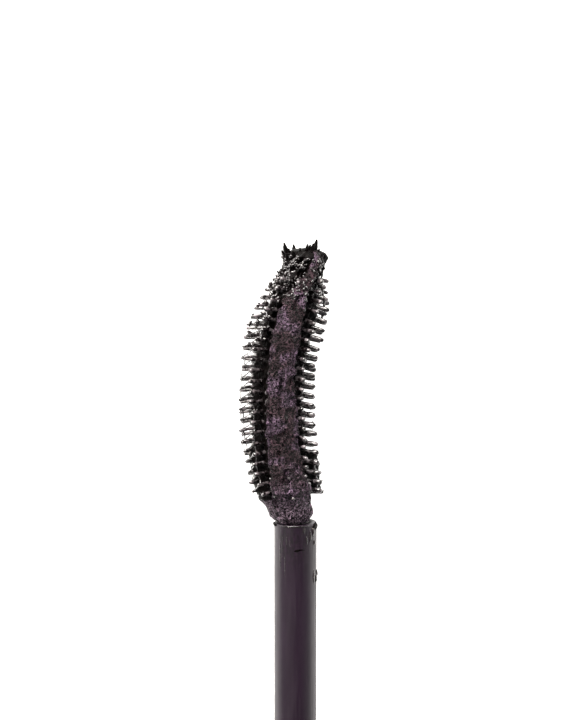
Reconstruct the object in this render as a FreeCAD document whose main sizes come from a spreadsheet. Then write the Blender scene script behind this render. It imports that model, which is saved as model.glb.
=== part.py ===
"""Mascara tube lying open on a table: the wand is drawn out of the bottle, in line with it.

The common axis runs along X at the container's radius above the table. The cap's closed end is at
the low end of X, the bottle's base at the high end, and the brush points towards the bottle's mouth.
The origin is on the table, half way along. Lengths are in millimetres.

Pieces of the wand are drawn from the cap's closed end, and pieces of the bottle from the wiper's
outer face. Both run along their own X axis, so that each Placement is a single shift.
"""

import FreeCAD, Part
import math
import os

import Sketcher

OUT_FOLDER = "parts"
SHEET_NAME = "Sizes"
TOUCH = 1e-4

# Driving dimensions. Radii are measured from the common axis.
DRIVING = {
    # container
    "container_radius": 9.1,
    "shell_inner_radius": 8.35,
    "liner_radius": 8.3,
    "slip_gap": 0.05,
    "seat_gap": 0.1,
    "fuse_sink": 0.2,
    # cap
    "cap_end_wall": 1.6,
    "disc_recess": 0.6,
    "disc_recess_radius": 7.05,
    "weight_length": 4.0,
    "disc_chamfer": 0.1,
    "weight_hole_radius": 1.5,
    "weight_chamfer": 0.3,
    "web_start": 30.0,
    "seat_station": 34.0,
    "washer_thickness": 0.9,
    "washer_radius": 7.0,
    "cap_rim_setback": 0.35,
    "skirt_bore_radius": 7.5,
    "pocket_radius": 7.3,
    "boss_radius": 4.5,
    "boss_start": 14.0,
    "rib_start": 16.0,
    "rib_thickness": 0.9,
    "rib_bite": 0.3,
    "cap_end_round": 1.1,
    "rim_round": 0.2,
    # stem
    "stem_radius": 2.14,
    "stem_root_radius": 3.0,
    "stem_root_start": 17.0,
    "stem_lead_in": 0.4,
    "stem_lead_length": 0.8,
    "stem_flange_radius": 4.2,
    "stem_flange_thickness": 1.0,
    "stem_groove_depth": 0.35,
    "stem_groove_width": 1.2,
    "first_groove": 3.0,
    "groove_step": 3.6,
    "stem_tip_station": 80.0,
    "stem_bore_radius": 1.45,
    "stem_bore_depth": 7.2,
    "stem_mouth_radius": 1.72,
    "stem_mouth_depth": 0.5,
    "stem_tip_round": 0.14,
    # brush
    "core_radius": 1.6,
    "core_start": 0.6,
    "core_crest": 12.7,
    "core_root_bend": 42.0,
    "core_tip_bend": 24.0,
    "core_tip_tilt": 19.5,
    "core_end": 25.9,
    "brush_length": 28.0,
    "plug_end_gap": 0.4,
    "bristle_reach": 3.7,
    "bristle_root_radius": 0.27,
    "bristle_tip_radius": 0.13,
    "bristle_pitch": 1.02,
    "bristle_lean": 6.5,
    "fan_share": 0.45,
    "first_ring": 3.1,
    "tip_reach": 2.6,
    "taper_length": 5.0,
    # bottle
    "wiper_flange": 0.6,
    "neck_length": 13.0,
    "neck_radius": 6.8,
    "neck_bore_radius": 5.8,
    "bottle_length": 77.0,
    "cavity_radius": 7.2,
    "bottle_floor": 1.2,
    "shoulder_wall": 0.8,
    "shoulder_slope": 1.8,
    "base_overhang": 1.0,
    "base_edge_round": 0.6,
    "collar_thickness": 1.2,
    "collar_round": 0.3,
    # lug closure
    "ridge_radius": 7.35,
    "lug_radius": 6.95,
    "ridge_width": 1.0,
    "ridge_crest": 0.6,
    "first_ridge": 3.5,
    "ridge_step": 3.0,
    "ridge_sweep": 80.0,
    "lug_sweep": 60.0,
    "lock_gap": 0.1,
    "bead_inset": 1.3,
    # wiper
    "wiper_bore_radius": 5.0,
    "wiper_flange_radius": 6.6,
    "wiper_funnel_start": 8.0,
    "wiper_funnel_end": 12.4,
    "wiper_lip_end": 13.4,
    "wiper_orifice_radius": 2.28,
    "wiper_lip_radius": 2.8,
    # contents
    "fill_start": 18.0,
    "fill_bore_radius": 5.95,
    "fill_lead_in": 0.35,
    "fill_lead_length": 0.6,
    "fill_slope": 2.0,
    # how far the brush's tip stands from the bottle's mouth
    "open_gap": 29.4,
}
# The brush: columns of bristles round the core, bristles in a column, how deep in the core a
# bristle is rooted as a share of its radius, and how the reach falls off towards the tip.
COLUMNS = 12
RINGS = 23
ROOT_SHARE = 0.6
TAPER_POWER = 1.5
# The crown on the tip: the spread of each row from the brush's direction, and its bristles.
TIP_CROWN = ((36.0, 5), (66.0, 9))
SOCKET_RIBS = 4
STEM_GROOVES = 3
CLOSURE_ROWS = 2


class Size:
    """A length with its value and the spreadsheet formula that gives it."""

    def __init__(self, value, formula):
        self.value = value
        self.formula = formula

    def _with(self, other, sign, value):
        text = other.formula if isinstance(other, Size) else repr(other)
        return Size(value, f"({self.formula} {sign} {text})")

    def __add__(self, other):
        return self._with(other, "+", self.value + number(other))

    def __sub__(self, other):
        return self._with(other, "-", self.value - number(other))

    def __mul__(self, other):
        return self._with(other, "*", self.value * number(other))

    def __truediv__(self, other):
        return self._with(other, "/", self.value / number(other))


def number(item):
    """The plain value of a Size or of a number."""
    return item.value if isinstance(item, Size) else float(item)


ZERO = Size(0.0, "0")
S = {alias: Size(value, f"{SHEET_NAME}.{alias}") for alias, value in DRIVING.items()}

# Stations along the wand, from the cap's closed end.
WASHER_END = S["seat_station"] + S["washer_thickness"] + S["slip_gap"]
CLOSED_SHIFT = WASHER_END + S["seat_gap"]
NECK_BASE = S["wiper_flange"] + S["neck_length"]
COLLAR_START = NECK_BASE - S["collar_thickness"]
CAP_RIM = CLOSED_SHIFT + COLLAR_START - S["cap_rim_setback"]
INNER_RIM = CAP_RIM - S["cap_rim_setback"]
WEIGHT_START = S["cap_end_wall"] + S["slip_gap"]
WEIGHT_END = WEIGHT_START + S["weight_length"]
INNER_START = WEIGHT_END + S["slip_gap"]
# Stations along the bottle, from the wiper's outer face.
BOTTLE_END = S["wiper_flange"] + S["bottle_length"]
SLEEVE_END = BOTTLE_END + S["base_overhang"]
CAVITY_END = BOTTLE_END - S["bottle_floor"]
# The whole object at rest.
WAND_LENGTH = S["stem_tip_station"] + S["brush_length"]
OVERALL = WAND_LENGTH + S["open_gap"] + SLEEVE_END
WAND_PLACE = OVERALL * -0.5
BOTTLE_PLACE = WAND_PLACE + WAND_LENGTH + S["open_gap"]


def make_sheet(doc):
    """The spreadsheet of driving dimensions, one alias to a row."""
    sheet = doc.addObject("Spreadsheet::Sheet", SHEET_NAME)
    for row, (alias, value) in enumerate(DRIVING.items(), start=1):
        sheet.set(f"A{row}", alias.replace("_", " "))
        sheet.set(f"B{row}", str(value))
        sheet.setAlias(f"B{row}", alias)
    doc.recompute()
    return sheet


def origin_item(body, role):
    """One of the planes or axes of a body's own origin."""
    return next(f for f in body.Origin.OriginFeatures if f.Role == role)


def bind(item, name, size):
    """Gives a property its value, and the formula that keeps it."""
    setattr(item, name, number(size))
    item.setExpression(name, size.formula)


def loop(sketch, points):
    """Adds a closed outline of straight lines, each corner held to the sketch's origin."""
    first = sketch.GeometryCount
    count = len(points)
    corners = [FreeCAD.Vector(number(x), number(y), 0) for x, y in points]
    for i in range(count):
        sketch.addGeometry(Part.LineSegment(corners[i], corners[(i + 1) % count]), False)
    for i in range(count):
        after = first + (i + 1) % count
        sketch.addConstraint(Sketcher.Constraint("Coincident", first + i, 2, after, 1))
    for i, (x, y) in enumerate(points):
        hold(sketch, first + i, "DistanceX", x, -2)
        hold(sketch, first + i, "DistanceY", y, -1)


def hold(sketch, line, kind, size, axis):
    """Holds a line's first point to the origin along one direction."""
    if abs(number(size)) < TOUCH:
        sketch.addConstraint(Sketcher.Constraint("PointOnObject", line, 1, axis))
        return
    added = sketch.addConstraint(Sketcher.Constraint(kind, -1, 1, line, 1, number(size)))
    sketch.setExpression(f"Constraints[{added}]", size.formula)


def new_body(doc, label, start):
    """A body on the common axis, shifted along it."""
    body = doc.addObject("PartDesign::Body", label)
    body.Label = label
    body.Placement.Base = FreeCAD.Vector(number(start), 0, DRIVING["container_radius"])
    body.setExpression("Placement.Base.x", start.formula)
    body.setExpression("Placement.Base.z", S["container_radius"].formula)
    return body


def new_sketch(body, name, plane, outlines):
    """A sketch on one of the body's planes, with one or more closed outlines."""
    sketch = body.newObject("Sketcher::SketchObject", name)
    sketch.AttachmentSupport = [(origin_item(body, plane), "")]
    sketch.MapMode = "FlatFace"
    for points in outlines:
        loop(sketch, points)
    return sketch


def revolve(body, kind, sketch, angle=360.0, midplane=False):
    """A Revolution or a Groove of a sketch about the common axis."""
    feature = body.newObject(f"PartDesign::{kind}", f"{sketch.Name}_{kind}")
    feature.Profile = sketch
    feature.ReferenceAxis = (sketch, ["H_Axis"])
    feature.Midplane = midplane
    if isinstance(angle, Size):
        bind(feature, "Angle", angle)
    else:
        feature.Angle = angle
    sketch.Visibility = False
    return feature


def turned_body(doc, label, start, points):
    """A body turned about the common axis from one closed outline of (station, radius)."""
    body = new_body(doc, label, start)
    sketch = new_sketch(body, f"{label}_outline", "XY_Plane", [points])
    revolve(body, "Revolution", sketch)
    doc.recompute()
    return body


def circle_edges(shape, station, radius):
    """The names of the round edges about the common axis at a station and radius."""
    names = []
    for i, edge in enumerate(shape.Edges, start=1):
        curve = edge.Curve
        if not isinstance(curve, Part.Circle):
            continue
        near = abs(curve.Center.x - number(station)) < TOUCH
        on_axis = math.hypot(curve.Center.y, curve.Center.z) < TOUCH
        if near and on_axis and abs(curve.Radius - number(radius)) < TOUCH:
            names.append(f"Edge{i}")
    return names


def round_edges(doc, body, places, radius, kind="Fillet"):
    """Rounds the edges found at the (station, radius) places."""
    tip = body.Tip
    local = tip.Shape
    names = [n for station, r in places for n in circle_edges(local, station, r)]
    if len(names) < len(places):
        raise RuntimeError(f"{body.Label}: an edge to round wasn't found")
    feature = body.newObject(f"PartDesign::{kind}", f"{body.Label}_{kind.lower()}")
    feature.Base = (tip, names)
    bind(feature, "Radius" if kind == "Fillet" else "Size", radius)
    doc.recompute()
    return feature


def repeat_round(doc, body, features, count):
    """Repeats features about the common axis."""
    pattern = body.newObject("PartDesign::PolarPattern", f"{features[0].Name}_repeat")
    pattern.Originals = features
    pattern.Axis = (origin_item(body, "X_Axis"), [""])
    pattern.Angle = 360
    pattern.Occurrences = count
    body.Tip = pattern
    doc.recompute()
    return pattern


# ---------------------------------------------------------------- wand


def make_outer_cap(doc):
    """The decorative shell of the cap, closed at one end, with a recess for the end disc."""
    points = [
        (S["disc_recess"], ZERO),
        (S["disc_recess"], S["disc_recess_radius"]),
        (ZERO, S["disc_recess_radius"]),
        (ZERO, S["container_radius"]),
        (CAP_RIM, S["container_radius"]),
        (CAP_RIM, S["shell_inner_radius"]),
        (S["cap_end_wall"], S["shell_inner_radius"]),
        (S["cap_end_wall"], ZERO),
    ]
    body = turned_body(doc, "outer_cap", WAND_PLACE, points)
    round_edges(doc, body, [(ZERO, S["container_radius"])], S["cap_end_round"])
    round_edges(doc, body, [(CAP_RIM, S["container_radius"])], S["rim_round"])
    return body


def make_cap_end_disc(doc):
    """The thin trim disc let into the cap's closed end."""
    edge = S["disc_recess_radius"] - S["slip_gap"]
    points = [
        (ZERO, ZERO),
        (ZERO, edge),
        (S["disc_recess"] - S["slip_gap"] / 2, edge),
        (S["disc_recess"] - S["slip_gap"] / 2, ZERO),
    ]
    body = turned_body(doc, "cap_end_disc", WAND_PLACE, points)
    round_edges(doc, body, [(ZERO, edge)], S["disc_chamfer"], "Chamfer")
    return body


def make_cap_weight(doc):
    """The punched steel slug that gives the cap its weight."""
    rim = S["liner_radius"] - S["slip_gap"]
    points = [
        (WEIGHT_START, S["weight_hole_radius"]),
        (WEIGHT_START, rim),
        (WEIGHT_END, rim),
        (WEIGHT_END, S["weight_hole_radius"]),
    ]
    body = turned_body(doc, "cap_weight", WAND_PLACE, points)
    edges = [(WEIGHT_START, rim), (WEIGHT_END, rim)]
    round_edges(doc, body, edges, S["weight_chamfer"], "Chamfer")
    return body


def make_inner_cap(doc):
    """The moulded liner: pocket, web, socket for the stem, and a skirt with locking lugs."""
    counterbore = S["seat_station"] - S["stem_flange_thickness"] - S["slip_gap"]
    flange_seat = S["stem_flange_radius"] + S["slip_gap"]
    socket = S["stem_root_radius"] + S["slip_gap"] / 2
    points = [
        (INNER_START, S["pocket_radius"]),
        (INNER_START, S["liner_radius"]),
        (INNER_RIM, S["liner_radius"]),
        (INNER_RIM, S["skirt_bore_radius"]),
        (S["seat_station"], S["skirt_bore_radius"]),
        (S["seat_station"], flange_seat),
        (counterbore, flange_seat),
        (counterbore, socket),
        (S["boss_start"], socket),
        (S["boss_start"], S["boss_radius"]),
        (S["web_start"], S["boss_radius"]),
        (S["web_start"], S["pocket_radius"]),
    ]
    body = turned_body(doc, "inner_cap", WAND_PLACE, points)
    add_socket_ribs(doc, body)
    add_lugs(doc, body)
    return body


def add_socket_ribs(doc, body):
    """Four ribs that tie the stem's socket to the liner's wall."""
    low = S["boss_radius"] - S["rib_bite"]
    high = S["pocket_radius"] + S["rib_bite"]
    end = S["web_start"] + S["rib_bite"]
    outline = [(S["rib_start"], low), (S["rib_start"], high), (end, high), (end, low)]
    sketch = new_sketch(body, "rib_outline", "XY_Plane", [outline])
    rib = body.newObject("PartDesign::Pad", "rib")
    rib.Profile = sketch
    rib.Midplane = True
    bind(rib, "Length", S["rib_thickness"])
    doc.recompute()
    repeat_round(doc, body, [rib], SOCKET_RIBS)


def ridge_outline(station, root, crest):
    """One ridge of the closure: a trapezium that stands on root and ends at crest."""
    half_root = S["ridge_width"] / 2
    half_crest = S["ridge_crest"] / 2
    return [
        (station - half_root, root),
        (station - half_crest, crest),
        (station + half_crest, crest),
        (station + half_root, root),
    ]


def add_lugs(doc, body):
    """Two rows of lugs inside the skirt, which pass the neck's ridges and lock a quarter turn on."""
    first = CLOSED_SHIFT + S["first_ridge"] + S["ridge_width"] + S["lock_gap"]
    root = S["skirt_bore_radius"] + S["fuse_sink"]
    stations = [first + S["ridge_step"] * i for i in range(CLOSURE_ROWS)]
    rows = [ridge_outline(station, root, S["lug_radius"]) for station in stations]
    sketch = new_sketch(body, "lug_outline", "XY_Plane", rows)
    lugs = revolve(body, "Revolution", sketch, S["lug_sweep"], True)
    doc.recompute()
    repeat_round(doc, body, [lugs], 2)


def make_stem(doc):
    """The moulded rod: a grooved root in the cap's socket, a flange, and a bored tip."""
    root = S["stem_root_radius"]
    groove = root - S["stem_groove_depth"]
    flange = S["seat_station"] - S["stem_flange_thickness"]
    first = S["stem_root_start"] + S["first_groove"]
    points = [
        (S["stem_root_start"], ZERO),
        (S["stem_root_start"], root - S["stem_lead_in"]),
        (S["stem_root_start"] + S["stem_lead_length"], root),
    ]
    for i in range(STEM_GROOVES):
        start = first + S["groove_step"] * i
        end = start + S["stem_groove_width"]
        points += [(start, root), (start, groove), (end, groove), (end, root)]
    points += [
        (flange, root),
        (flange, S["stem_flange_radius"]),
        (S["seat_station"], S["stem_flange_radius"]),
        (S["seat_station"], S["stem_radius"]),
        (S["stem_tip_station"], S["stem_radius"]),
        (S["stem_tip_station"], S["stem_mouth_radius"]),
        (S["stem_tip_station"] - S["stem_mouth_depth"], S["stem_bore_radius"]),
        (S["stem_tip_station"] - S["stem_bore_depth"], S["stem_bore_radius"]),
        (S["stem_tip_station"] - S["stem_bore_depth"], ZERO),
    ]
    body = turned_body(doc, "stem", WAND_PLACE, points)
    round_edges(doc, body, [(S["stem_tip_station"], S["stem_radius"])], S["stem_tip_round"])
    return body


def make_seal_washer(doc):
    """The loose washer on the stem that seals the bottle's mouth."""
    hole = S["stem_radius"] + S["slip_gap"]
    start = S["seat_station"] + S["slip_gap"]
    rim = S["washer_radius"]
    points = [(start, hole), (start, rim), (WASHER_END, rim), (WASHER_END, hole)]
    return turned_body(doc, "seal_washer", WAND_PLACE, points)


def sheet_values(doc):
    """The driving dimensions as the spreadsheet holds them."""
    sheet = doc.getObject(SHEET_NAME)
    return {alias: float(getattr(sheet, alias)) for alias in DRIVING}


def core_lengths(sizes):
    """Distances along the core to its crest and to the end of its bend."""
    to_crest = sizes["core_root_bend"] * math.asin(sizes["core_crest"] / sizes["core_root_bend"])
    to_straight = to_crest + sizes["core_tip_bend"] * math.radians(sizes["core_tip_tilt"])
    return to_crest, to_straight


def core_point(sizes, station):
    """Centre of the curved core at a distance along it, and its tilt there in radians.

    The core leaves the stem's axis, swings out to its crest, curls back and ends straight:
    two arcs that meet at the crest, and a line.
    """
    root_bend, tip_bend = sizes["core_root_bend"], sizes["core_tip_bend"]
    to_crest, to_straight = core_lengths(sizes)
    height = root_bend * (1 - math.cos(to_crest / root_bend))
    bend = root_bend if station < to_crest else tip_bend
    tilt = (min(station, to_straight) - to_crest) / bend
    beyond = max(station - to_straight, 0.0)
    x = sizes["core_crest"] + bend * math.sin(tilt) + beyond * math.cos(tilt)
    y = height - bend * (1 - math.cos(tilt)) - beyond * math.sin(tilt)
    return FreeCAD.Vector(x, y, 0), tilt


def directions(tilt):
    """The directions along and across the brush for a tilt."""
    tangent = FreeCAD.Vector(math.cos(tilt), -math.sin(tilt), 0)
    side = FreeCAD.Vector(math.sin(tilt), math.cos(tilt), 0)
    return tangent, side


def core_wire(sizes):
    """The core's centre line: two tangent arcs and a line."""
    to_crest, to_straight = core_lengths(sizes)
    edges = []
    for low, high in ((sizes["core_start"], to_crest), (to_crest, to_straight)):
        places = [core_point(sizes, low + (high - low) * share)[0] for share in (0, 0.5, 1)]
        edges.append(Part.Arc(*places).toShape())
    ends = [core_point(sizes, station)[0] for station in (to_straight, sizes["core_end"])]
    edges.append(Part.makeLine(*ends))
    return Part.Wire(edges)


def bristle_reach(sizes, station):
    """How far the bristles reach from the core's centre line, shorter towards the tip."""
    last = sizes["first_ring"] + sizes["bristle_pitch"] * (RINGS - 1)
    share = (station - (last - sizes["taper_length"])) / sizes["taper_length"]
    share = min(max(share, 0.0), 1.0)
    return sizes["bristle_reach"] - (sizes["bristle_reach"] - sizes["tip_reach"]) * share**TAPER_POWER


def bristle(sizes, centre, direction, reach):
    """One tapered bristle, from inside the core out to its reach."""
    root = sizes["core_radius"] * ROOT_SHARE
    return Part.makeCone(
        sizes["bristle_root_radius"],
        sizes["bristle_tip_radius"],
        reach - root,
        centre + direction * root,
        direction,
    )


def all_bristles(sizes):
    """Rings of bristles, alternate columns half a pitch apart, and a crown on the tip.

    The bristles fan out less than the core bends, and lean back towards the stem.
    """
    made = []
    up = FreeCAD.Vector(0, 0, 1)
    lean = math.radians(sizes["bristle_lean"])
    for column in range(COLUMNS):
        angle = 2 * math.pi * (column + 0.5) / COLUMNS
        lag = sizes["bristle_pitch"] / 2 * (column % 2)
        for ring in range(RINGS):
            station = sizes["first_ring"] + ring * sizes["bristle_pitch"] + lag
            if station > sizes["core_end"]:
                continue
            centre, tilt = core_point(sizes, station)
            tangent, side = directions(tilt * sizes["fan_share"])
            outward = side * math.cos(angle) + up * math.sin(angle)
            direction = outward * math.cos(lean) - tangent * math.sin(lean)
            made.append(bristle(sizes, centre, direction, bristle_reach(sizes, station)))
    centre, tilt = core_point(sizes, sizes["core_end"])
    tangent, side = directions(tilt * sizes["fan_share"])
    for spread_degrees, count in TIP_CROWN:
        spread = math.radians(spread_degrees)
        for i in range(count):
            around = 2 * math.pi * (i + 0.5) / count
            outward = side * math.cos(around) + up * math.sin(around)
            direction = tangent * math.cos(spread) + outward * math.sin(spread)
            made.append(bristle(sizes, centre, direction, sizes["tip_reach"]))
    return made


def make_brush(doc):
    """The moulded brush: root plug, curved core and bristles in one piece.

    A pattern along a curve isn't a PartDesign feature, so the shape is made with Part functions.
    """
    sizes = sheet_values(doc)
    start, tilt = core_point(sizes, sizes["core_start"])
    end, _ = core_point(sizes, sizes["core_end"])
    ring = Part.Wire(Part.makeCircle(sizes["core_radius"], start, directions(tilt)[0]))
    core = core_wire(sizes).makePipeShell([ring], True, False)
    plug_length = sizes["stem_bore_depth"] - sizes["plug_end_gap"]
    plug_radius = sizes["stem_bore_radius"] - sizes["slip_gap"] / 2
    along = FreeCAD.Vector(1, 0, 0)
    plug = Part.makeCylinder(plug_radius, plug_length, along * -plug_length, along)
    ends = [Part.makeSphere(sizes["core_radius"], centre) for centre in (start, end)]
    body = plug.fuse([core] + ends)
    shape = body.fuse(all_bristles(sizes)).removeSplitter()
    solids = shape.Solids
    if len(solids) != 1:
        raise RuntimeError(f"the brush came out as {len(solids)} solids")
    feature = doc.addObject("Part::Feature", "brush")
    feature.Label = "brush"
    feature.Shape = solids[0]
    place = number(WAND_PLACE) + sizes["stem_tip_station"]
    feature.Placement.Base = FreeCAD.Vector(place, 0, sizes["container_radius"])
    return feature


# ---------------------------------------------------------------- bottle


def make_bottle(doc):
    """The inner bottle: neck with locking ridges, shoulder, and the cavity for the mascara."""
    lip = S["wiper_flange"]
    points = [
        (lip, S["neck_bore_radius"]),
        (lip, S["neck_radius"]),
        (NECK_BASE, S["neck_radius"]),
        (NECK_BASE, S["liner_radius"]),
        (BOTTLE_END, S["liner_radius"]),
        (BOTTLE_END, ZERO),
        (CAVITY_END, ZERO),
        (CAVITY_END, S["cavity_radius"]),
        (NECK_BASE + S["shoulder_wall"] + S["shoulder_slope"], S["cavity_radius"]),
        (NECK_BASE + S["shoulder_wall"], S["neck_bore_radius"]),
    ]
    body = turned_body(doc, "bottle", BOTTLE_PLACE, points)
    root = S["neck_radius"] - S["fuse_sink"]
    rows = []
    for i in range(CLOSURE_ROWS):
        station = S["first_ridge"] + S["ridge_step"] * i
        rows.append(ridge_outline(station, root, S["ridge_radius"]))
    sketch = new_sketch(body, "ridge_outline", "XZ_Plane", rows)
    ridges = revolve(body, "Revolution", sketch, S["ridge_sweep"], True)
    doc.recompute()
    repeat_round(doc, body, [ridges], 2)
    add_neck_bead(doc, body, root)
    return body


def add_neck_bead(doc, body, root):
    """The bead round the foot of the neck, clear of the cap's lugs."""
    station = COLLAR_START - S["bead_inset"]
    crest = S["ridge_radius"] - S["slip_gap"]
    sketch = new_sketch(body, "bead_outline", "XY_Plane", [ridge_outline(station, root, crest)])
    revolve(body, "Revolution", sketch)
    doc.recompute()


def make_bottle_sleeve(doc):
    """The outer shell of the bottle, flush with the cap."""
    points = [
        (NECK_BASE, S["shell_inner_radius"]),
        (NECK_BASE, S["container_radius"]),
        (SLEEVE_END, S["container_radius"]),
        (SLEEVE_END, S["shell_inner_radius"]),
    ]
    body = turned_body(doc, "bottle_sleeve", BOTTLE_PLACE, points)
    round_edges(doc, body, [(SLEEVE_END, S["container_radius"])], S["base_edge_round"])
    return body


def make_collar_ring(doc):
    """The trim ring round the neck, between the sleeve and the cap."""
    bore = S["neck_radius"] + S["slip_gap"]
    points = [
        (COLLAR_START, bore),
        (COLLAR_START, S["container_radius"]),
        (NECK_BASE, S["container_radius"]),
        (NECK_BASE, bore),
    ]
    body = turned_body(doc, "collar_ring", BOTTLE_PLACE, points)
    edges = [(COLLAR_START, S["container_radius"]), (NECK_BASE, S["container_radius"])]
    round_edges(doc, body, edges, S["collar_round"])
    return body


def make_base_disc(doc):
    """The plug pressed into the sleeve's end, the face that the closed tube stands on."""
    rim = S["shell_inner_radius"] - S["slip_gap"]
    start = BOTTLE_END + S["slip_gap"]
    points = [
        (start, ZERO),
        (start, rim),
        (SLEEVE_END, rim),
        (SLEEVE_END, ZERO),
    ]
    body = turned_body(doc, "base_disc", BOTTLE_PLACE, points)
    round_edges(doc, body, [(SLEEVE_END, rim)], S["rim_round"], "Chamfer")
    return body


def make_wiper(doc):
    """The soft insert in the neck, whose lip wipes the stem as it comes out."""
    skirt = S["neck_bore_radius"] - S["slip_gap"] / 2
    points = [
        (ZERO, S["wiper_bore_radius"]),
        (ZERO, S["wiper_flange_radius"]),
        (S["wiper_flange"], S["wiper_flange_radius"]),
        (S["wiper_flange"], skirt),
        (S["wiper_funnel_start"], skirt),
        (S["wiper_funnel_end"], S["wiper_lip_radius"]),
        (S["wiper_lip_end"], S["wiper_lip_radius"]),
        (S["wiper_lip_end"], S["wiper_orifice_radius"]),
        (S["wiper_funnel_end"], S["wiper_orifice_radius"]),
        (S["wiper_funnel_start"], S["wiper_bore_radius"]),
    ]
    return turned_body(doc, "wiper", BOTTLE_PLACE, points)


def make_mascara_fill(doc):
    """The bulk mascara that lines the cavity round the channel that the brush keeps open."""
    wall = S["cavity_radius"] - S["slip_gap"]
    end = CAVITY_END - S["slip_gap"]
    floor_start = CAVITY_END - S["bottle_floor"]
    points = [
        (S["fill_start"], wall - S["fill_lead_in"]),
        (S["fill_start"] + S["fill_lead_length"], wall),
        (end, wall),
        (end, ZERO),
        (floor_start, ZERO),
        (floor_start, S["fill_bore_radius"]),
        (S["fill_start"] + S["fill_slope"], S["fill_bore_radius"]),
    ]
    return turned_body(doc, "mascara_fill", BOTTLE_PLACE, points)


MAKERS = (
    make_outer_cap,
    make_cap_end_disc,
    make_cap_weight,
    make_inner_cap,
    make_stem,
    make_seal_washer,
    make_brush,
    make_bottle,
    make_bottle_sleeve,
    make_collar_ring,
    make_base_disc,
    make_wiper,
    make_mascara_fill,
)


def check(doc, pieces):
    """Stops if any object failed, or any piece isn't one valid closed solid."""
    for item in doc.Objects:
        if {"Invalid", "Error"} & set(item.State):
            raise RuntimeError(f"{item.Label} failed: {item.State}")
    for piece in pieces:
        shape = piece.Shape
        if shape.isNull() or not shape.isValid() or shape.Volume <= 0:
            raise RuntimeError(f"{piece.Label} isn't a valid solid")
        if len(shape.Solids) != 1:
            raise RuntimeError(f"{piece.Label} has {len(shape.Solids)} solids")


def main():
    doc = FreeCAD.newDocument("mascara_tube")
    make_sheet(doc)
    pieces = [maker(doc) for maker in MAKERS]
    doc.recompute()
    check(doc, pieces)
    os.makedirs(OUT_FOLDER, exist_ok=True)
    for piece in pieces:
        piece.Shape.exportStep(os.path.join(OUT_FOLDER, f"{piece.Label}.step"))
        box = piece.Shape.BoundBox
        print(
            f"{piece.Label:14s} {piece.Shape.Volume:9.1f} mm3"
            f"  x {box.XMin:7.2f} to {box.XMax:7.2f}  y {box.YMin:6.2f} to {box.YMax:6.2f}"
        )


main()
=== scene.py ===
"""The looks of the mascara tube: a wand drawn out of its bottle, with a curved brush wet with mascara.

The CAD frame holds every shell, the stem and the bottle. This script gives them their materials,
and replaces the plain CAD brush with a detailed one: bristles, the paste that clogs them, strands
between their tips, and smears on the stem and in the wiper.

The brush is drawn in millimetres, in a frame of its own: x runs from the stem's end face along the
stem's axis to the brush's tip, y to the side that the brush bulges to, and z up. A place on it is
given by its station, the distance along the curved core, and its angle round the core from +y.
"""

import math

import bpy
import numpy as np
from mathutils import Matrix, Vector


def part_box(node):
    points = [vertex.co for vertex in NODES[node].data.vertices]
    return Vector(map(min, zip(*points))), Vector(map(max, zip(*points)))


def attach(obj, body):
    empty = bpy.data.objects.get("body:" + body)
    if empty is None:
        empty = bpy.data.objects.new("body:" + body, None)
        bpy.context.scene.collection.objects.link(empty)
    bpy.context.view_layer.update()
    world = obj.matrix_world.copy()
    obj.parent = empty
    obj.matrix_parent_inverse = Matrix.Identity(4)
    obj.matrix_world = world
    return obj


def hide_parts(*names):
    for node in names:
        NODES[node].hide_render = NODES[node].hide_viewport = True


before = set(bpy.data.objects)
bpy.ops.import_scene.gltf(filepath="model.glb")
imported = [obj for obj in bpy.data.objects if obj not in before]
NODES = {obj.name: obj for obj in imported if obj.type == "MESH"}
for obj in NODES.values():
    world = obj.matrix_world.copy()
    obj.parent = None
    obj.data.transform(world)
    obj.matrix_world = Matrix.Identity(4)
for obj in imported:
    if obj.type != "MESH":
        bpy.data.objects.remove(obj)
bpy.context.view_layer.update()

MM = 0.001

# Places from the frame, in metres.
STEM_LOW, STEM_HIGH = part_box("stem")
STEM_END = STEM_HIGH.x
AXIS_Z = (STEM_LOW.z + STEM_HIGH.z) / 2
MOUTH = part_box("wiper")[0].x

# The brush, in millimetres, as the CAD has it.
ROOT_BEND = 42.0
TIP_BEND = 24.0
CREST = 12.7
STRAIGHT_TILT = math.radians(19.5)
CORE_RADIUS = 1.6
CORE_START = 0.6
CORE_END = 25.9
COLUMNS = 12
RINGS = 23
PITCH = 1.02
FIRST_RING = 3.1
LEAN = math.radians(6.5)
FAN_SHARE = 0.45
REACH = 3.7
TIP_REACH = 2.7
TAPER_LENGTH = 5.0
BRISTLE_ROOT = CORE_RADIUS * 0.6
PLUG_RADIUS = 1.42
PLUG_LENGTH = 6.8
STEM_RADIUS = 2.14

TO_CREST = ROOT_BEND * math.asin(CREST / ROOT_BEND)
TO_STRAIGHT = TO_CREST + TIP_BEND * STRAIGHT_TILT
CREST_HEIGHT = ROOT_BEND * (1 - math.cos(TO_CREST / ROOT_BEND))

random = np.random.default_rng(12)


# ---------------------------------------------------------------- numbers


def smooth(low, high, x):
    """0 below low, 1 above high, and a smooth step between them."""
    share = np.clip((np.asarray(x, float) - low) / (high - low), 0.0, 1.0)
    return share * share * (3 - 2 * share)


def lattice(i, j, k, seed):
    """A value from -1 to 1 for each whole-numbered place."""
    mixed = (i * 73856093) ^ (j * 19349663) ^ (k * 83492791) ^ (seed * 83492791 + 2971)
    mixed = ((mixed ^ (mixed >> 13)) * 1274126177) & 0xFFFFFFFF
    mixed = ((mixed ^ (mixed >> 15)) * 2246822519) & 0xFFFFFFFF
    mixed = mixed ^ (mixed >> 16)
    return (mixed & 0xFFFF) / 32767.5 - 1.0


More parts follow.
